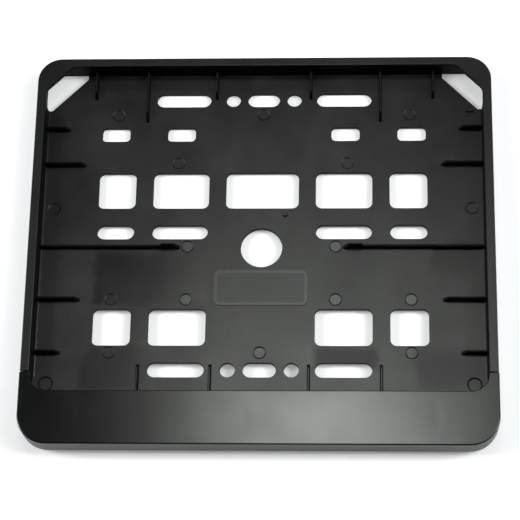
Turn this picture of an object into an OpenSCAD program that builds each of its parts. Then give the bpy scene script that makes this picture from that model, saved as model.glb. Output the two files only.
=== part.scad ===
// Number plate holder for a motorcycle plate: a moulded base tray with a perforated floor,
// and a closing strip that snaps over the lower edge of the plate.
// The holder lies on its back. X runs across the plate, +Y points to the plate's top edge,
// and +Z points out of the front. The origin is in the middle of the box, at the hook tips.

/* [Plate] */
// Width of the number plate that the holder takes
plate_w = 190; // [176:1:240]
// Height of the number plate
plate_h = 150; // [146:1:180]
// Play between the plate and each side wall
plate_play = 0.9; // [0.3:0.1:2]
// How far the plate can drop from the rim to the stop on the strip
plate_drop = 0.9; // [0.3:0.1:1.5]

/* [Rim] */
// Width of the rim's face
rim_w = 3.9; // [3.4:0.1:5]
// Height of the rim above the floor's face
rim_rise = 9.8; // [8.6:0.1:12]
// Outer radius of the two upper corners
corner_r = 10.5; // [8:0.5:14]
// Rounding of the outer edge of the rim and of the strip
edge_r = 0.5; // [0.3:0.1:1.2]
// Rounding of the inner edges of the rim and of the strip
inner_edge_r = 0.4; // [0.2:0.1:0.5]
// Width of the hollow that lightens the rim from behind
channel_w = 1.5; // [0.8:0.1:1.6]
// Thickness of the rim's face over that hollow
channel_roof = 2.4; // [1.6:0.1:4]

/* [Floor] */
// Thickness of the floor
floor_t = 2.4; // [2:0.1:3]
// Radius of the fillet where the floor meets the walls
foot_r = 0.8; // [0.4:0.1:1.2]

/* [Corner lips] */
// Leg of the triangular lip over each upper corner of the plate
lip_leg = 11.2; // [9:0.1:14]
// Radius of the fillets where a lip's edge meets the rim
lip_fillet_r = 3.5; // [1:0.5:5]
// Thickness of the lips
lip_t = 2.3; // [1.6:0.1:2.8]
// Leg of the opening in the floor below each lip
opening_leg = 17.1; // [15:0.1:20]
// Width of the blunt tips of that opening
opening_tip = 1.8; // [0.8:0.1:2.5]
// How deep the opening reaches into the foot of the walls
opening_recess = 1.2; // [0.6:0.1:1.6]

/* [Ribs] */
// Thickness of the ribs at their foot
rib_t = 1.4; // [1.2:0.1:2]
// Draft of the ribs' sides, in degrees
rib_draft = 3; // [0.5:0.5:4]
// Height of the chamfers along the crest of a rib
crest_chamfer = 0.5; // [0.2:0.1:0.8]
// Width of the flat crest of the upright ribs
upright_crest = 0.3; // [0.1:0.1:0.6]
// Width of the sharper crest of the side ribs
side_crest = 0.1; // [0.1:0.1:0.6]
// Height of the ribs above the floor
rib_h = 3.8; // [2.8:0.1:4.5]
// Length of the ramp at a rib's free end
rib_ramp = 2.3; // [1.5:0.1:4]
// Height of the two long ribs beside the central hole
long_rib_h = 2.8; // [2:0.1:3.4]
// Reach of the long ribs from the side walls
long_rib_reach = 60.8; // [50:0.1:66]
// Height of the humps that press the plate forward
hump_h = 4.8; // [4.6:0.1:5.5]
// Length of a hump's flat top
hump_flat = 4.5; // [3:0.1:6]
// Length of the ramp at a hump's free end
hump_ramp = 3; // [2:0.1:4]
// Length of the slope at a hump's back
hump_back = 1.2; // [0.8:0.1:2]
// Side ribs: distance above the plate's middle, and reach from the wall
side_ribs = [[48.5, 10.5], [31.4, 18.3], [-31.2, 18.3], [-55, 11]];
// Distance of the inner upright ribs from the middle
inner_rib_x = 20.8; // [19:0.1:22]
// Distance of the outer upright ribs from the middle
outer_rib_x = 51.4; // [49:0.1:54]
// Gap between each corner opening and the upright rib beside it
corner_rib_gap = 4.2; // [2:0.1:6]
// Reach of the short upright ribs from the top wall
short_rib_reach = 12; // [8:0.1:13]
// Reach of the humped upright ribs from the top wall
humped_rib_reach = 23; // [20:0.1:26]
// How far the lower upright ribs pass the lowest row of holes
lower_rib_past = 2.4; // [0:0.1:6]

/* [Holes] */
// Width of the slots
slot_w = 6.6; // [5:0.1:7.5]
// Length of the long slots
long_slot = 24.2; // [20:0.1:26]
// Length of the outer slots in the middle row
short_slot = 16.1; // [12:0.1:18]
// Length of the slot in the middle of the top and bottom rows
middle_slot = 14.1; // [10:0.1:16]
// Diameter of the round holes beside it
round_hole_d = 6.4; // [5:0.1:7]
// Distance of the round holes from the middle
round_hole_x = 13.5; // [12:0.1:14.5]
// Diameter of the large central hole
central_d = 18; // [12:0.5:20]
// Distance of the central hole below the plate's middle
central_drop = 7.2; // [6:0.1:8]
// Distance of the inner columns of slots and large windows from the middle
inner_col = 35.5; // [34:0.1:38]
// Distance of the outer columns from the middle
outer_col = 63.5; // [60:0.1:66]
// Height of the top row above the plate's middle
top_row = 62.8; // [61:0.1:64]
// Distance of the bottom row below the plate's middle
bottom_row = 62.4; // [61:0.1:64]
// Height of the row of small windows above the plate's middle
small_row = 46.3; // [44:0.1:48]
// Height of the row of upper windows above the plate's middle
upper_row = 19.5; // [18:0.1:21]
// Distance of the row of lower windows below the plate's middle
lower_row = 43.4; // [42:0.1:46]
// Size of the small windows
small_window = [12.4, 6.8];
// Distance of the inner small windows from the middle
small_inner_col = 36.1; // [34:0.1:38]
// Distance of the outer small windows from the middle
small_outer_col = 65.1; // [62:0.1:68]
// Width of the square windows
square_window_w = 16.4; // [12:0.1:18]
// Width of the oblong windows
oblong_window_w = 24.5; // [20:0.1:26]
// Width of the central window
central_window_w = 31.7; // [26:0.1:34]
// Height of the upper windows
upper_window_h = 17; // [14:0.1:18]
// Height of the lower windows
lower_window_h = 16.5; // [14:0.1:18]
// Corner radius of the large windows
window_r = 2.7; // [1:0.1:4]
// Corner radius of the small windows
small_window_r = 1.9; // [1:0.1:3]

/* [Moulding marks] */
// Diameter of the flat bottom of the marks that the ejector pins leave
pin_d = 4.5; // [3:0.1:5]
// Depth of those marks in the floor
pin_depth = 0.3; // [0.2:0.1:0.6]
// Width of the slope around each mark
mark_slope = 0.6; // [0.3:0.1:0.8]
// Distance of the outermost marks from the side walls
pin_inset = 5.1; // [4:0.1:7]
// Diameter of the larger marks beside the strip's inner corners
corner_mark_d = 5.2; // [4:0.1:6]
// Depth of those larger marks
corner_mark_depth = 0.5; // [0.3:0.1:1]
// Distance of the larger marks from the side walls and from the strip's edge
corner_mark_inset = 5.6; // [5:0.1:7]
// Length of the small nib below the right-hand corner opening
nib_l = 3.7; // [2:0.1:5]
// Thickness of the nib
nib_t = 0.8; // [0.6:0.1:1.2]
// Height of the nib above the floor
nib_h = 1; // [0.5:0.1:1.5]
// Distance of the nib from the side wall
nib_inset = 3.2; // [2:0.1:4]
// Distance of the nib below that opening
nib_drop = 0.6; // [0.5:0.1:2]
// Diameter of the gate mark at its foot
gate_d = 3; // [2:0.1:4]
// Height of the gate mark above the floor
gate_h = 0.7; // [0.4:0.1:1.2]
// Width of the bare raised pad under the central hole
pad_w = 40; // [30:0.5:44]
// Height of the pad from its lower to its upper side
pad_side = 15.9; // [10:0.1:16]
// Thickness of the pad above the floor
pad_t = 0.4; // [0.2:0.1:0.8]
// Corner radius of the pad
pad_r = 2.6; // [1:0.1:4]
// Distance of the pad's middle below the plate's middle
pad_drop = 25.7; // [25:0.1:26]

/* [Closing strip] */
// Height of the strip's face from its lower to its upper side
strip_side = 23.1; // [21:0.1:30]
// How far the strip stands out past the side rims
strip_step = 0.2; // [0.1:0.1:0.6]
// How far the strip's edge laps over a plate pushed up against the rim
strip_lap = 0.8; // [0.5:0.1:2]
// Length of the arms that run up the side rims
strip_arm = 8.4; // [8:0.1:10]
// Radius of the strip's two inner corners
strip_inner_r = 7.6; // [5:0.1:7.6]
// Outer radius of the two lower corners
strip_corner_r = 12.5; // [10:0.5:16]
// Thickness of the strip's face
face_t = 2; // [1.6:0.1:2.6]
// Thickness of the strip's outer skirt
skirt_t = 1.8; // [1.4:0.1:2.2]
// Depth of the skirt from the strip's face
skirt_depth = 10.6; // [8:0.1:12]
// Clearance between the skirt and the tray
strip_gap = 0.3; // [0.2:0.1:0.5]
// Gap of the seam where the arms meet the rims
seam_gap = 0.7; // [0.2:0.1:0.8]
// Thickness of the stop that locates the plate's lower edge
stop_t = 1.2; // [0.8:0.1:1.6]
// Length by which the stop ends short of the side walls
stop_short = 12; // [10:0.5:20]
// Depth of the two stiffening ribs behind the face
stiffener_depth = 3; // [1.5:0.1:3.5]

/* [Snap hooks] */
// Distance of the outer hooks from the middle
hook_x = 75; // [70:0.5:78]
// Width of each hook
hook_w = 10; // [6:0.5:14]
// Thickness of each hook's blade
hook_t = 1.6; // [1.2:0.1:2]
// Reach of the hook's nose under the floor
hook_nose = 1.2; // [0.8:0.1:1.6]
// How far the hooks stand out behind the floor
hook_drop = 3; // [2:0.1:4]
// Height of the nose's upright side
nose_side = 0.9; // [0.6:0.1:1.2]
// Distance of the blades from the tray's lower outer face
hook_inset = 5.5; // [4.5:0.1:7]
// Clearance between the blades and their slots
hook_play = 0.2; // [0.1:0.05:0.4]

/* [Hidden] */
$fn = 64;

// Depth by which joined solids run into each other
bury = 0.5;
// Length by which a cut runs past the face that it opens
past = 1;
// Length by which a shallow mark's cut runs past the floor's face
skim = 0.1;
// Angle between a lip's long edge and the rim
lip_turn = 45;

// Levels, from the hook tips up
back_z = hook_drop;
floor_z = back_z + floor_t;
rim_z = floor_z + rim_rise;
seat_z = rim_z - face_t;
skirt_z = rim_z - skirt_depth;
lip_z = rim_z - lip_t;

// Outlines, from the middle of the box
half_w = plate_w / 2 + plate_play + rim_w + strip_step;
rim_half_w = half_w - strip_step;
half_h = (rim_w + plate_h - strip_lap + strip_side) / 2;
wall_x = rim_half_w - rim_w;
wall_y = half_h - rim_w;
plate_y = wall_y - plate_h / 2;
strip_y = strip_side - half_h;
seam_y = strip_y + strip_arm;
strip_inset = skirt_t + strip_gap;
ledge_t = rim_w + strip_step - strip_inset;
hook_y = hook_inset + strip_inset - half_h;

// Rows of holes
top_row_y = plate_y + top_row;
bottom_row_y = plate_y - bottom_row;
central_y = plate_y - central_drop;
corner_rib_x = wall_x - opening_leg - corner_rib_gap;
lower_rib_reach = bottom_row_y + lower_rib_past + half_h - strip_inset - ledge_t;

// Middles of the ejector marks on the right half, above the plate's middle
pins = [[0, 55.7], [64.2, 55.5], [37, 32.4], [wall_x - pin_inset, 11], [32, -6.7],
        [64.2, -30.9], [32, -30.9], [0, -54.7], [64.2, -54.7]];
// Middle of the gate mark, from the plate's middle
gate = [10, 8.1];

module both_sides() {
    children();
    mirror([1, 0, 0]) children();
}

// Outline helpers: all corners are true arcs

module rounded_rect(w, h, r) {
    square([w - 2 * r, h], center = true);
    square([w, h - 2 * r], center = true);
    for (x = [r - w / 2, w / 2 - r], y = [r - h / 2, h / 2 - r])
        translate([x, y]) circle(r);
}

module slot_outline(length, width) {
    square([length - width, width], center = true);
    for (x = [(width - length) / 2, (length - width) / 2])
        translate([x, 0]) circle(d = width);
}

// The part of the holder's outline above the seam, drawn in by an inset
module upper_outline(inset) {
    r = corner_r - inset;
    x = rim_half_w - corner_r;
    y = half_h - corner_r;
    translate([inset - rim_half_w, seam_y]) square([2 * (rim_half_w - inset), y - seam_y]);
    translate([-x, seam_y]) square([2 * x, half_h - inset - seam_y]);
    for (side = [-x, x])
        translate([side, y]) circle(r);
}

// The part below a given height, drawn in by an inset
module lower_outline(inset, top) {
    r = strip_corner_r - inset;
    x = half_w - strip_corner_r;
    y = strip_corner_r - half_h;
    translate([inset - half_w, y]) square([2 * (half_w - inset), top - y]);
    translate([-x, inset - half_h]) square([2 * x, top + half_h - inset]);
    for (side = [-x, x])
        translate([side, y]) circle(r);
}

// The opening that the plate shows through, with the strip's rounded inner corners
module sight_outline() {
    w = 2 * wall_x;
    h = wall_y - strip_y;
    translate([0, strip_y + h / 2]) rounded_rect(w, h, strip_inner_r);
}

// Cross-section of an edge: its outer face is at x = depth, its top at y = height
module edge_profile(depth, height, inner_r) {
    square([depth, height - edge_r]);
    square([depth - edge_r, height - inner_r]);
    translate([inner_r, 0]) square([depth - edge_r - inner_r, height]);
    translate([depth - edge_r, height - edge_r]) circle(edge_r);
    translate([inner_r, height - inner_r]) circle(inner_r);
}

// Carries a cross-section along Y, with its outside to +X
module run(length) {
    rotate([90, 0, 0]) linear_extrude(length, center = true) children();
}

// Rim of the tray

module rim_section() {
    translate([0, back_z]) edge_profile(rim_w, rim_z - back_z, inner_edge_r);
}

module rim() {
    corner_x = rim_half_w - corner_r;
    corner_y = half_h - corner_r;
    side_run = corner_y - seam_y;
    both_sides() {
        translate([wall_x, seam_y + side_run / 2, 0]) run(side_run) rim_section();
        translate([corner_x, corner_y, 0])
            rotate_extrude(angle = 90) translate([corner_r - rim_w, 0]) rim_section();
    }
    translate([0, wall_y, 0]) rotate([0, 0, 90]) run(2 * corner_x) rim_section();
}

// The hollow behind the rim, left whole where a rib stands, and ending short of the corners
module rim_channel() {
    groove_h = rim_z - channel_roof - back_z + past;
    low = back_z - past;
    side_low = seam_y + rim_w;
    side_high = wall_y - opening_leg - rim_w;
    both_sides()
        difference() {
            translate([wall_x + (rim_w - channel_w) / 2, side_low, low])
                cube([channel_w, side_high - side_low, groove_h]);
            for (y = side_rib_heights())
                translate([wall_x, y - rib_t / 2, low]) cube([rim_w, rib_t, groove_h]);
        }
    top_half = corner_rib_x - rib_t;
    difference() {
        translate([-top_half, wall_y + (rim_w - channel_w) / 2, low])
            cube([2 * top_half, channel_w, groove_h]);
        for (x = [-outer_rib_x, -inner_rib_x, inner_rib_x, outer_rib_x])
            translate([x - rib_t / 2, wall_y, low]) cube([rib_t, rim_w, groove_h]);
    }
}

function side_rib_heights() = concat([central_y], [for (rib = side_ribs) plate_y + rib[0]]);

// Floor, with the low ledge that the strip seats on

module floor_plate() {
    translate([0, 0, back_z]) linear_extrude(floor_t) {
        upper_outline(rim_w / 2);
        lower_outline(strip_inset, seam_y + bury);
    }
}

module seat_ledge() {
    translate([0, 0, back_z]) linear_extrude(seat_z - back_z)
        difference() {
            lower_outline(strip_inset, seam_y + bury);
            lower_outline(strip_inset + ledge_t, seam_y + bury + past);
        }
}

// Concave fillets along the feet of the side walls and of the top wall
module foot_section() {
    difference() {
        translate([-bury, -bury]) square(foot_r + bury);
        translate([foot_r, foot_r]) circle(foot_r);
    }
}

module wall_feet() {
    side_run = wall_y - opening_leg - seam_y;
    top_run = 2 * (wall_x - opening_leg);
    both_sides()
        translate([wall_x, seam_y + side_run / 2, floor_z])
            mirror([1, 0, 0]) run(side_run) foot_section();
    translate([0, wall_y, floor_z]) rotate([0, 0, -90]) run(top_run) foot_section();
}

// Corner lips and the openings that the mould reaches them through

// Concave fillet at the end of a lip's long edge, seen from the corner of the walls
module lip_fillet(reach) {
    tangent = lip_fillet_r * tan(lip_turn / 2);
    drop = tangent * sin(lip_turn);
    difference() {
        polygon([[-lip_leg - tangent, reach], [-lip_leg - tangent, 0], [drop - lip_leg, -drop],
                 [reach - lip_leg, reach]]);
        translate([-lip_leg - tangent, -lip_fillet_r]) circle(lip_fillet_r);
    }
}

module corner_lip() {
    reach = rim_w / 2;
    translate([0, 0, lip_z]) linear_extrude(lip_t)
        intersection() {
            upper_outline(rim_w - reach);
            translate([wall_x, wall_y]) {
                polygon([[-lip_leg - reach, reach], [reach, -lip_leg - reach], [reach, reach]]);
                lip_fillet(reach);
                mirror([1, -1]) lip_fillet(reach);
            }
        }
}

module corner_opening() {
    reach = rim_w / 2;
    translate([0, 0, back_z - past]) linear_extrude(lip_z - back_z + past)
        intersection() {
            upper_outline(rim_w - opening_recess);
            polygon([[wall_x - opening_leg, wall_y + reach],
                     [wall_x - opening_leg, wall_y - opening_tip],
                     [wall_x - opening_tip, wall_y - opening_leg],
                     [wall_x + reach, wall_y - opening_leg],
                     [wall_x + reach, wall_y + reach]]);
        }
}

// Ribs: each starts in its wall at x = 0 and runs along +X to a ramped free end

// Cross-section of a rib, with drafted sides and a chamfered crest
module rib_section(height, crest) {
    half = rib_t / 2;
    shoulder = height - crest_chamfer;
    wide = half - shoulder * tan(rib_draft);
    polygon([[-half, -bury], [half, -bury], [half, 0], [wide, shoulder], [crest / 2, height],
             [-crest / 2, height], [-wide, shoulder], [-half, 0]]);
}

// A length of rib under the side view that is given as its child
module rib_length(reach, height, crest) {
    intersection() {
        translate([-bury, 0, 0]) rotate([90, 0, 90])
            linear_extrude(reach + bury) rib_section(height, crest);
        rotate([90, 0, 0]) linear_extrude(rib_t + past, center = true) children();
    }
}

module rib_body(reach, height, crest) {
    rib_length(reach, height, crest)
        polygon([[-bury, -bury], [reach, -bury], [reach, 0],
                 [reach - rib_ramp * (1 + bury / height), height + bury], [-bury, height + bury]]);
}

module rib_hump(reach, height, crest) {
    start = reach - hump_ramp - hump_flat;
    rise = hump_h - height;
    rib_length(reach, hump_h, crest)
        polygon([[start - hump_back, -bury], [reach, -bury], [reach, 0],
                 [reach - hump_ramp * (1 + bury / hump_h), hump_h + bury],
                 [start + hump_back * bury / rise, hump_h + bury],
                 [start - hump_back, height]]);
}

module side_rib_set() {
    for (rib = side_ribs)
        translate([wall_x, plate_y + rib[0], floor_z])
            rotate([0, 0, 180]) rib_body(rib[1], rib_h, side_crest);
    translate([wall_x, central_y, floor_z]) rotate([0, 0, 180]) {
        rib_body(long_rib_reach, long_rib_h, side_crest);
        rib_hump(long_rib_reach, long_rib_h, side_crest);
    }
}

module upright_rib_set() {
    for (x = [inner_rib_x, corner_rib_x])
        translate([x, wall_y, floor_z])
            rotate([0, 0, -90]) rib_body(short_rib_reach, rib_h, upright_crest);
    translate([outer_rib_x, wall_y, floor_z]) rotate([0, 0, -90]) {
        rib_body(humped_rib_reach, rib_h, upright_crest);
        rib_hump(humped_rib_reach, rib_h, upright_crest);
    }
    for (x = [inner_rib_x, outer_rib_x])
        translate([x, strip_inset + ledge_t - half_h, floor_z])
            rotate([0, 0, 90]) rib_body(lower_rib_reach, rib_h, upright_crest);
}

// Small raised marks on the floor

module floor_marks() {
    translate([gate[0], plate_y + gate[1], floor_z - bury])
        cylinder(d1 = gate_d, d2 = gate_d / 2, h = gate_h + bury);
    translate([0, plate_y - pad_drop, floor_z - bury])
        linear_extrude(pad_t + bury) rounded_rect(pad_w, pad_side, pad_r);
    translate([wall_x - nib_inset - nib_l, wall_y - opening_leg - nib_drop - nib_t,
               floor_z - bury])
        cube([nib_l, nib_t, nib_h + bury]);
}

// Round marks sunk into the floor, each with a sloping side

module round_mark(d, depth) {
    rise = depth + skim;
    translate([0, 0, floor_z - depth])
        cylinder(d1 = d, d2 = d + 2 * mark_slope * rise / depth, h = rise);
}

module sunk_marks() {
    both_sides() {
        for (pin = pins)
            translate([pin[0], plate_y + pin[1], 0]) round_mark(pin_d, pin_depth);
        translate([wall_x - corner_mark_inset, strip_y + corner_mark_inset, 0])
            round_mark(corner_mark_d, corner_mark_depth);
    }
}

// Holes through the floor

module row_of(places, y) {
    for (x = places)
        translate([x, y]) children();
}

module hole_outlines() {
    inner = [-inner_col, inner_col];
    outer = [-outer_col, outer_col];
    for (y = [bottom_row_y, top_row_y]) {
        row_of(inner, y) slot_outline(long_slot, slot_w);
        row_of([0], y) slot_outline(middle_slot, slot_w);
    }
    row_of(inner, plate_y) slot_outline(long_slot, slot_w);
    row_of(outer, plate_y) slot_outline(short_slot, slot_w);
    row_of([-small_outer_col, -small_inner_col, small_inner_col, small_outer_col],
           plate_y + small_row)
        rounded_rect(small_window[0], small_window[1], small_window_r);
    row_of([0], plate_y + upper_row)
        rounded_rect(central_window_w, upper_window_h, window_r);
    row_of(inner, plate_y + upper_row)
        rounded_rect(oblong_window_w, upper_window_h, window_r);
    row_of(outer, plate_y + upper_row)
        rounded_rect(square_window_w, upper_window_h, window_r);
    row_of(inner, plate_y - lower_row)
        rounded_rect(oblong_window_w, lower_window_h, window_r);
    row_of(outer, plate_y - lower_row)
        rounded_rect(square_window_w, lower_window_h, window_r);
}

module floor_holes() {
    depth = floor_z - back_z + 2 * past;
    translate([0, 0, back_z - past]) {
        linear_extrude(depth) hole_outlines();
        for (x = [-round_hole_x, round_hole_x], y = [bottom_row_y, top_row_y])
            translate([x, y, 0]) cylinder(d = round_hole_d, h = depth);
        translate([0, central_y, 0]) cylinder(d = central_d, h = depth);
    }
}

// Slots for the snap hooks, wide enough for the blades to flex over their noses
module hook_slots() {
    w = hook_w + 2 * hook_play;
    h = hook_t + hook_nose + 2 * hook_play;
    for (x = [-hook_x, 0, hook_x])
        translate([x - w / 2, hook_y - hook_play, back_z - past])
            cube([w, h, floor_t + 2 * past]);
}

module base_tray() {
    color("#2b2d2f")
        difference() {
            union() {
                rim();
                floor_plate();
                seat_ledge();
                wall_feet();
                both_sides() {
                    corner_lip();
                    side_rib_set();
                    upright_rib_set();
                }
                floor_marks();
            }
            rim_channel();
            both_sides() corner_opening();
            sunk_marks();
            floor_holes();
            hook_slots();
        }
}

// Closing strip

// A full-depth block with the strip's outline and its rounded outer edge
module strip_block() {
    corner_x = half_w - strip_corner_r;
    corner_y = strip_corner_r - half_h;
    arm_y = seam_y - seam_gap;
    both_sides() {
        translate([corner_x, (corner_y + arm_y) / 2, skirt_z])
            run(arm_y - corner_y) edge_profile(strip_corner_r, skirt_depth, 0);
        translate([corner_x, corner_y, skirt_z]) rotate([0, 0, -90])
            rotate_extrude(angle = 90) edge_profile(strip_corner_r, skirt_depth, 0);
    }
    translate([0, corner_y, skirt_z]) rotate([0, 0, -90])
        run(2 * corner_x) edge_profile(strip_corner_r, skirt_depth, 0);
    translate([-corner_x, corner_y, skirt_z])
        cube([2 * corner_x, arm_y - corner_y, skirt_depth]);
}

// Cuts the rounding along the strip's inner edge, from the lower side round both corners
module inner_edge_cut() {
    corner_x = wall_x - strip_inner_r;
    corner_y = strip_y + strip_inner_r;
    translate([0, strip_y, rim_z]) rotate([0, 0, 90]) run(2 * corner_x) edge_waste();
    both_sides() {
        translate([corner_x, corner_y, rim_z]) rotate([0, 0, -90])
            rotate_extrude(angle = 90) translate([strip_inner_r, 0]) mirror([1, 0]) edge_waste();
        translate([wall_x, corner_y + strip_arm / 2, rim_z])
            mirror([1, 0, 0]) run(strip_arm) edge_waste();
    }
}

// What a rounding takes off an edge whose solid lies at negative x and z
module edge_waste() {
    difference() {
        translate([-inner_edge_r, -inner_edge_r]) square(inner_edge_r + skim);
        translate([-inner_edge_r, -inner_edge_r]) circle(inner_edge_r);
    }
}

module snap_hook() {
    translate([0, hook_y, 0]) rotate([0, 0, 90]) rotate([90, 0, 0])
        linear_extrude(hook_w, center = true)
            polygon([[hook_t, seat_z + bury], [hook_t, 0], [hook_t / 2, 0],
                     [-hook_nose, back_z - hook_play - nose_side],
                     [-hook_nose, back_z - hook_play], [0, back_z - hook_play],
                     [0, seat_z + bury]]);
}

// The stop hangs below the strip's edge and ends just above the ribs
module plate_stop() {
    top = wall_y - plate_h - plate_drop;
    low = floor_z + rib_h + strip_gap;
    half = wall_x - stop_short;
    translate([-half, top - stop_t, low]) cube([2 * half, stop_t, seat_z + bury - low]);
}

module stiffeners() {
    high = wall_y - plate_h - plate_drop - stop_t / 2;
    low = strip_inset + ledge_t + strip_gap - half_h;
    bottom = seat_z - stiffener_depth;
    for (x = [-hook_x / 2, hook_x / 2])
        translate([x - stop_t / 2, low, bottom])
            cube([stop_t, high - low, stiffener_depth + bury]);
}

module closing_strip() {
    color("#303234") {
        difference() {
            strip_block();
            translate([0, 0, skirt_z - past]) linear_extrude(seat_z - skirt_z + past)
                lower_outline(skirt_t, seam_y + past);
            translate([0, 0, skirt_z - past]) linear_extrude(skirt_depth + 2 * past)
                sight_outline();
            inner_edge_cut();
        }
        for (x = [-hook_x, 0, hook_x])
            translate([x, 0, 0]) snap_hook();
        plate_stop();
        stiffeners();
    }
}

base_tray();
closing_strip();
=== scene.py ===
"""A black plastic number plate holder, lying on its back on a white studio table."""

import functools
import math

import bpy
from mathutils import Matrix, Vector

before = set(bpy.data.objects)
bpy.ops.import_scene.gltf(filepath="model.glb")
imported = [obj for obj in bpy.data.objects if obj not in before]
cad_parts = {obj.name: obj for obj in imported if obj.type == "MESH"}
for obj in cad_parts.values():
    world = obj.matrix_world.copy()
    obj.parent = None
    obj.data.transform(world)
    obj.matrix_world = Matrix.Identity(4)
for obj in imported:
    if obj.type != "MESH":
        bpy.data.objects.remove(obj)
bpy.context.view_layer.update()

MM = 0.001

# The viewpoint, in metres and degrees
CAMERA_PLACE = (0.04342, -0.29708, 0.78536)
CAMERA_TURN = (20.636, 2.839, 1.021)
CAMERA_RANGE = (0.01, 50.0)
LENS = 134.39
SENSOR = 36.0

# The holder rests on its three hooks and on the back of its upper edge, so it leans a little
HOOK_FOOT_Y = -78.9 * MM
UPPER_EDGE_Y = 88.1 * MM
BACK_Z = 3.0 * MM

# The table: half its side, the air under the holder, its grey, and its glow to the camera
TABLE_HALF = 4.0
TABLE_GAP = 0.02 * MM
TABLE_GREY = 0.86
TABLE_GLOW = 0.28
ROOM_LIGHT = 0.005

# Black plastic: the colour under the gloss
PLASTIC_IOR = 1.5
TRAY_BASE = (0.001, 0.001, 0.001)
PALE_BASE = (0.050, 0.052, 0.050)
STRIP_BASE = (0.003, 0.0031, 0.0032)
WALL_BASE = (0.002, 0.002, 0.002)

# How rough the two pieces are, and how far that varies
TRAY_ROUGHNESS = 0.29
TRAY_VARIES = 0.04
STRIP_ROUGHNESS = 0.17
STRIP_VARIES = 0.02

# Roughness and specular level of the faces that shine less
FULL_LEVEL = 0.5
WALL_SHEEN = (0.6, 0.1)
MARK_SIDE_SHEEN = (0.50, 0.28)
SKIRT_SHEEN = (0.28, 0.09)

# Faces count as walls, mark sides or skirt when their normal's z is below these
WALL_STEEP = 0.80
MARK_SIDE_STEEP = 0.93
SKIRT_STEEP = 0.6
INNER_HALF = (96.1 * MM, 84.4 * MM)

# Random textures: scale, detail, and how much of either end of the noise is cut off
NOISE_ROUGHNESS = 0.55
TRAY_GLOSS = (35.0, 1.0, 0.2)
STRIP_GLOSS = (60.0, 1.5, 0.2)
MOTTLES = (60.0, 2.0, 0.25)
WAVE_ACROSS = (90.0, 2.0, 0.25)
WAVE_ALONG = (75.0, 2.0, 0.25)

# Bumps: scale, detail and height of the noise
TRAY_WAVES = (45.0, 1.0, 0.05 * MM)
TRAY_GRAIN = (2600.0, 2.0, 0.004 * MM)
STRIP_WAVES = (40.0, 1.0, 0.03 * MM)
STRIP_GRAIN = (2600.0, 2.0, 0.002 * MM)

# The floor: its top, and how far from it the stains reach and fade
FLOOR_Z = 5.4 * MM
FLOOR_REACH = 1.5 * MM
FLOOR_SOFT = 0.5 * MM

# How much of the pale tone the floor shows everywhere, and how the random tone, the darker and
# paler patches and the painted shade change it
BASE_PALE = 0.08
TONE_PALE = 0.10
MOTTLE = 1.2

# Darker and paler patches of the floor, and painted shade along the walls and under the long ribs,
# in mm: middle, half sizes, then tone and roughness added
PATCHES_AND_SHADE = (
    # Painted shade on the floor under the left long rib
    (-47.2, -12.0, 22.5, 10.0, -2.0, -0.095),
    # Darker patches
    (36.5, -48.5, 11.5, 3.5, -1.4, 0.085),
    (-61.0, -53.0, 14.0, 7.0, -0.6, -0.065),
    (80.0, -52.0, 12.0, 6.5, -0.6, 0.055),
    # Painted shade on the floor under the right long rib
    (84.0, -5.0, 9.5, 6.5, -1.0, -0.100),
    # Paler patches
    (-50.0, -38.0, 1.5, 11.0, 1.2, 0.0),
    (-80.5, -36.0, 6.0, 10.5, 0.8, 0.0),
    (0.0, -31.0, 21.0, 29.0, 0.5, 0.0),
    (37.0, 42.5, 7.0, 4.5, 0.6, 0.0),
    (-6.5, 46.5, 5.5, 5.5, 0.6, 0.0),
    # Painted shade on the floor along the two side walls and the top wall
    (-93.0, 0.0, 3.0, 64.0, -0.9, 0.0),
    (93.0, 0.0, 3.0, 64.0, -0.9, 0.0),
    (0.0, 81.5, 82.0, 3.0, -0.9, 0.0),
)
PATCH_SOFT = 3.5 * MM
PATCH_WAVE = 2.5 * MM

# Pin marks, each row middle, reach and fade: their sunk face, then where the painted sheen on them
# is strongest
MARK_FACE = (5.0 * MM, 0.18 * MM, 0.05 * MM)
MARK_ACROSS = (20 * MM, 15 * MM, 70 * MM)
MARK_ALONG = (-18 * MM, 4 * MM, 40 * MM)
MARK_SHEEN = 1.6

# The pad: middle, half sizes and corner radius, then the band inside its edge that takes a painted
# highlight, measured inwards, and after it that highlight's strength and the ramp and strength of a
# painted sheen over the pad
PAD_BOX = (0.0, -16.5 * MM, 20.0 * MM, 7.95 * MM, 2.6 * MM)
PAD_EDGE = (0.6 * MM, 0.4 * MM, 0.5 * MM)
PAD_EDGE_HIGHLIGHT = 0.5
PAD_SOFT = 0.5 * MM
PAD_SHEEN = 0.12

# Sink marks of the strip, one over each hook
SINK_X = (-74 * MM, -5 * MM, 74 * MM)
SINK_Y = -75 * MM
SINK_HALF = (2.2 * MM, 5.0 * MM)
SINK_DEPTH = 0.012 * MM

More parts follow.
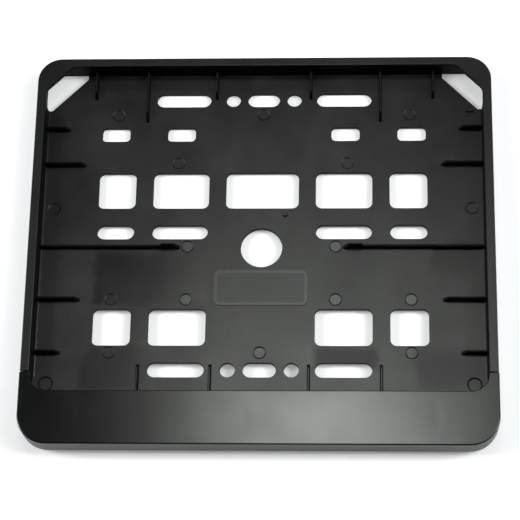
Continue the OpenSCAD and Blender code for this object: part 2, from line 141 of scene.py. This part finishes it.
# Softboxes, all aimed at the holder: place, width and height, watts, tint
LAMP_AIM = (0.0, 0.0, 0.0)
WARM, COOL = (0.96, 1.0, 0.94), (0.955, 0.98, 1.0)
LAMPS = (
    ("overhead_softbox_a", (-0.05, 0.25, 1.46), (0.20, 0.25), 0.70, WARM),
    ("overhead_softbox_b", (-0.05, 0.42, 1.46), (0.20, 0.25), 0.78, WARM),
    ("overhead_softbox_c", (0.05, 0.25, 1.46), (0.20, 0.25), 0.88, WARM),
    ("overhead_softbox_d", (0.15, 0.42, 1.46), (0.20, 0.25), 0.24, WARM),
    ("right_overhead_softbox", (0.75, 0.10, 1.46), (0.28, 0.60), 4.3, COOL),
    ("left_softbox", (-1.30, 0.0, 1.25), (0.50, 0.80), 19.4, COOL),
    ("right_softbox", (1.30, 0.0, 1.25), (0.50, 0.80), 19.8, COOL),
    ("back_softbox", (0.0, 1.25, 1.25), (0.60, 0.50), 0.7, COOL),
    ("far_left_softbox", (-0.80, 1.90, 0.70), (0.80, 0.50), 1.7, COOL),
    ("far_right_softbox", (0.80, 1.90, 0.70), (0.80, 0.50), 2.4, COOL),
    ("low_left_softbox", (-1.90, 0.30, 0.50), (0.80, 0.60), 11.7, COOL),
    ("low_right_softbox", (1.90, 0.30, 0.50), (0.80, 0.60), 5.8, COOL),
)


# Shader helpers


def new_material(name):
    material = bpy.data.materials.new(name)
    material.use_nodes = True
    material.node_tree.nodes.clear()
    return material, material.node_tree


def opaque(colour):
    return (*colour, 1.0)


def calc(tree, operation, *values):
    """A maths node fed by sockets or by plain numbers."""
    node = tree.nodes.new("ShaderNodeMath")
    node.operation = operation
    for socket, value in zip(node.inputs, values):
        if isinstance(value, (int, float)):
            socket.default_value = value
        else:
            tree.links.new(value, socket)
    return node.outputs["Value"]


def plus(tree, *values):
    return functools.reduce(lambda one, two: calc(tree, "ADD", one, two), values)


def times(tree, *values):
    return functools.reduce(lambda one, two: calc(tree, "MULTIPLY", one, two), values)


def larger(tree, *values):
    return functools.reduce(lambda one, two: calc(tree, "MAXIMUM", one, two), values)


def off(tree, value, middle):
    """How far the value is from the middle, either way."""
    return calc(tree, "ABSOLUTE", calc(tree, "SUBTRACT", value, middle))


def remap(tree, value, low, high, to_low, to_high):
    node = tree.nodes.new("ShaderNodeMapRange")
    node.inputs["From Min"].default_value = low
    node.inputs["From Max"].default_value = high
    node.inputs["To Min"].default_value = to_low
    node.inputs["To Max"].default_value = to_high
    tree.links.new(value, node.inputs["Value"])
    return node.outputs["Result"]


def near(tree, value, middle, reach, soft):
    """1 within reach of the middle value, falling to 0 over the soft width."""
    return remap(tree, off(tree, value, middle), reach, reach + soft, 1.0, 0.0)


def distance_inside(tree, x, y, box):
    """How far a point lies inside a rounded rectangle, negative outside it."""
    middle_x, middle_y, half_w, half_h, radius = box
    over_x = calc(tree, "SUBTRACT", off(tree, x, middle_x), half_w - radius)
    over_y = calc(tree, "SUBTRACT", off(tree, y, middle_y), half_h - radius)
    out_x = larger(tree, over_x, 0.0)
    out_y = larger(tree, over_y, 0.0)
    square = plus(tree, times(tree, out_x, out_x), times(tree, out_y, out_y))
    outside = calc(tree, "SQRT", square)
    inner = calc(tree, "MINIMUM", larger(tree, over_x, over_y), 0.0)
    return calc(tree, "SUBTRACT", radius, plus(tree, outside, inner))


def axes(tree):
    """Object coordinates, whole and as x, y and z."""
    place = tree.nodes.new("ShaderNodeTexCoord").outputs["Object"]
    parts = tree.nodes.new("ShaderNodeSeparateXYZ")
    tree.links.new(place, parts.inputs["Vector"])
    return place, parts.outputs["X"], parts.outputs["Y"], parts.outputs["Z"]


def noise(tree, place, scale, detail):
    node = tree.nodes.new("ShaderNodeTexNoise")
    node.inputs["Scale"].default_value = scale
    node.inputs["Detail"].default_value = detail
    node.inputs["Roughness"].default_value = NOISE_ROUGHNESS
    tree.links.new(place, node.inputs["Vector"])
    return node.outputs["Fac"]


def varied(tree, place, texture, middle, reach):
    """A value that wanders by its reach round the middle."""
    scale, detail, cut = texture
    value = noise(tree, place, scale, detail)
    return remap(tree, value, cut, 1.0 - cut, middle - reach, middle + reach)


def bump(tree, height, distance, before=None):
    node = tree.nodes.new("ShaderNodeBump")
    node.inputs["Strength"].default_value = 1.0
    node.inputs["Distance"].default_value = distance
    tree.links.new(height, node.inputs["Height"])
    if before is not None:
        tree.links.new(before, node.inputs["Normal"])
    return node.outputs["Normal"]


def noise_bump(tree, place, texture, before=None):
    scale, detail, height = texture
    return bump(tree, noise(tree, place, scale, detail), height, before)


# Materials


def plain_plastic(name, base, roughness, level=FULL_LEVEL):
    material, tree = new_material(name)
    shader = tree.nodes.new("ShaderNodeBsdfPrincipled")
    out = tree.nodes.new("ShaderNodeOutputMaterial")
    tree.links.new(shader.outputs["BSDF"], out.inputs["Surface"])
    shader.inputs["IOR"].default_value = PLASTIC_IOR
    shader.inputs["Base Color"].default_value = opaque(base)
    shader.inputs["Roughness"].default_value = roughness
    shader.inputs["Specular IOR Level"].default_value = level
    return material, tree, shader


def floor_tone_shade_and_gloss(tree, place, x, y, z):
    """The floor's pale tone and its roughness, both changed by the patches; the tone also carries
    painted shade along the walls and under the long ribs.
    """
    gloss = varied(tree, place, TRAY_GLOSS, TRAY_ROUGHNESS, TRAY_VARIES)
    tone_and_shade = varied(tree, place, MOTTLES, 0.0, MOTTLE)
    floor = near(tree, z, FLOOR_Z, FLOOR_REACH, FLOOR_SOFT)
    wavy_x = plus(tree, x, varied(tree, place, WAVE_ACROSS, 0.0, PATCH_WAVE))
    wavy_y = plus(tree, y, varied(tree, place, WAVE_ALONG, 0.0, PATCH_WAVE))
    # Each row adds a patch, or painted shade along a wall or under a long rib, to the tone, and
    # some rows change the roughness
    for middle_x, middle_y, half_w, half_h, toned, rougher in PATCHES_AND_SHADE:
        across = near(tree, wavy_x, middle_x * MM, half_w * MM, PATCH_SOFT)
        along = near(tree, wavy_y, middle_y * MM, half_h * MM, PATCH_SOFT)
        patch = times(tree, across, along, floor)
        tone_and_shade = plus(tree, tone_and_shade, times(tree, patch, toned))
        if rougher:
            gloss = plus(tree, gloss, times(tree, patch, rougher))
    return times(tree, tone_and_shade, floor), gloss


def tray_plastic():
    """Satin moulded plastic with darker and paler patches, painted shade along the walls and under
    the long ribs, a painted sheen on the pin marks, and a painted highlight and sheen on the pad.
    """
    material, tree, shader = plain_plastic("tray_plastic", TRAY_BASE, TRAY_ROUGHNESS)
    place, x, y, z = axes(tree)
    tone_and_shade, gloss = floor_tone_shade_and_gloss(tree, place, x, y, z)
    tree.links.new(gloss, shader.inputs["Roughness"])

    sunk = near(tree, z, *MARK_FACE)
    # The pin marks' sunk faces are painted paler, most where the lamps' highlight falls on the
    # floor: a painted sheen
    mark_sheen = times(tree, sunk, near(tree, x, *MARK_ACROSS), near(tree, y, *MARK_ALONG), MARK_SHEEN)
    inside = distance_inside(tree, x, y, PAD_BOX)
    # A painted highlight along the inside of the pad's rounded edge, and a painted sheen over the
    # pad
    edge_highlight = times(tree, near(tree, inside, *PAD_EDGE), PAD_EDGE_HIGHLIGHT)
    pad_sheen = times(tree, remap(tree, inside, 0.0, PAD_SOFT, 0.0, 1.0), PAD_SHEEN)
    pale = plus(tree, mark_sheen, edge_highlight, pad_sheen, times(tree, tone_and_shade, TONE_PALE), BASE_PALE)
    tint = tree.nodes.new("ShaderNodeMix")
    tint.data_type = "RGBA"
    tint.inputs["A"].default_value = opaque(TRAY_BASE)
    tint.inputs["B"].default_value = opaque(PALE_BASE)
    tree.links.new(pale, tint.inputs["Factor"])
    tree.links.new(tint.outputs["Result"], shader.inputs["Base Color"])

    waves = noise_bump(tree, place, TRAY_WAVES)
    tree.links.new(noise_bump(tree, place, TRAY_GRAIN, waves), shader.inputs["Normal"])
    return material


def strip_plastic():
    """Glossier plastic, with a shallow sink mark over each of the three hooks."""
    material, tree, shader = plain_plastic("strip_plastic", STRIP_BASE, STRIP_ROUGHNESS)
    place, x, y, _ = axes(tree)
    gloss = varied(tree, place, STRIP_GLOSS, STRIP_ROUGHNESS, STRIP_VARIES)
    tree.links.new(gloss, shader.inputs["Roughness"])

    hollows = []
    for middle in SINK_X:
        across = calc(tree, "DIVIDE", calc(tree, "SUBTRACT", x, middle), SINK_HALF[0])
        along = calc(tree, "DIVIDE", calc(tree, "SUBTRACT", y, SINK_Y), SINK_HALF[1])
        spread = plus(tree, times(tree, across, across), times(tree, along, along))
        hollows.append(calc(tree, "EXPONENT", times(tree, spread, -1.0)))
    sunk = bump(tree, times(tree, plus(tree, *hollows), -1.0), SINK_DEPTH)
    waves = noise_bump(tree, place, STRIP_WAVES, sunk)
    tree.links.new(noise_bump(tree, place, STRIP_GRAIN, waves), shader.inputs["Normal"])
    return material


def white_table():
    """White table top: it takes shadows, and clips to white where nothing shades it."""
    material, tree = new_material("white_table")
    diffuse = tree.nodes.new("ShaderNodeBsdfDiffuse")
    diffuse.inputs["Color"].default_value = opaque((TABLE_GREY, TABLE_GREY, TABLE_GREY))
    glow = tree.nodes.new("ShaderNodeEmission")
    glow.inputs["Color"].default_value = (1.0, 1.0, 1.0, 1.0)
    ray = tree.nodes.new("ShaderNodeLightPath").outputs
    seen = larger(tree, ray["Is Camera Ray"], ray["Is Glossy Ray"], ray["Is Transmission Ray"])
    tree.links.new(times(tree, seen, TABLE_GLOW), glow.inputs["Strength"])
    both = tree.nodes.new("ShaderNodeAddShader")
    tree.links.new(diffuse.outputs["BSDF"], both.inputs[0])
    tree.links.new(glow.outputs["Emission"], both.inputs[1])
    out = tree.nodes.new("ShaderNodeOutputMaterial")
    tree.links.new(both.outputs["Shader"], out.inputs["Surface"])
    return material


# The holder


def dress(name, material):
    """Give a CAD piece its main material."""
    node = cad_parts[name]
    node.data.materials.clear()
    node.data.materials.append(material)
    return node


def add_slot(node, name, base, sheen):
    """Add a plainer plastic to a piece, and return its slot's number."""
    node.data.materials.append(plain_plastic(name, base, *sheen)[0])
    return len(node.data.materials) - 1


def outward(face):
    """Above 0 where a face looks away from the middle of the holder, below 0 where it looks in."""
    return face.normal.x * face.center.x + face.normal.y * face.center.y


def dull_tray_walls(node):
    """Give ribs, hole walls and the inside of the rim matt plastic, and mark sides a duller one."""
    matt = add_slot(node, "matt_plastic", WALL_BASE, WALL_SHEEN)
    dull = add_slot(node, "dull_plastic", TRAY_BASE, MARK_SIDE_SHEEN)
    for face in node.data.polygons:
        x, y = abs(face.center.x), abs(face.center.y)
        inside = x < INNER_HALF[0] and y < INNER_HALF[1]
        if (inside or outward(face) < 0) and abs(face.normal.z) < WALL_STEEP:
            face.material_index = matt
        elif inside and abs(face.normal.z) < MARK_SIDE_STEEP:
            face.material_index = dull


def dull_strip_skirt(node):
    """Give the strip's steep outward faces, its skirt, a less shiny plastic."""
    skirt = add_slot(node, "skirt_plastic", STRIP_BASE, SKIRT_SHEEN)
    for face in node.data.polygons:
        if outward(face) > 0 and abs(face.normal.z) < SKIRT_STEEP:
            face.material_index = skirt


# The studio


def lay_table():
    """The table top, tilted so that it meets the hooks and the back of the upper edge."""
    slope = BACK_Z / (UPPER_EDGE_Y - HOOK_FOOT_Y)
    bpy.ops.mesh.primitive_plane_add(size=2 * TABLE_HALF, location=(0, 0, 0))
    table = bpy.context.object
    table.name = "table_top"
    for vertex in table.data.vertices:
        vertex.co.z = (vertex.co.y - HOOK_FOOT_Y) * slope - TABLE_GAP
    table.data.materials.append(white_table())


def area_light(name, place, size, power, tint):
    data = bpy.data.lights.new(name, "AREA")
    data.shape = "RECTANGLE"
    data.size, data.size_y = size
    data.energy = power
    data.color = tint
    lamp = bpy.data.objects.new(name, data)
    bpy.context.scene.collection.objects.link(lamp)
    lamp.location = place
    facing = Vector(LAMP_AIM) - Vector(place)
    lamp.rotation_euler = facing.to_track_quat("-Z", "Y").to_euler()


def light_studio():
    for lamp in LAMPS:
        area_light(*lamp)
    world = bpy.data.worlds.new("room")
    bpy.context.scene.world = world
    world.use_nodes = True
    background = world.node_tree.nodes["Background"]
    background.inputs["Color"].default_value = (1.0, 1.0, 1.0, 1.0)
    background.inputs["Strength"].default_value = ROOM_LIGHT


def set_camera():
    data = bpy.data.cameras.new("camera")
    data.sensor_width = SENSOR
    data.lens = LENS
    data.clip_start, data.clip_end = CAMERA_RANGE
    camera = bpy.data.objects.new("camera", data)
    bpy.context.scene.collection.objects.link(camera)
    camera.location = CAMERA_PLACE
    camera.rotation_euler = tuple(math.radians(turn) for turn in CAMERA_TURN)
    bpy.context.scene.camera = camera


set_camera()
lay_table()
light_studio()
dull_tray_walls(dress("base_tray", tray_plastic()))
dull_strip_skirt(dress("closing_strip", strip_plastic()))

bpy.context.scene.view_settings.view_transform = "Standard"
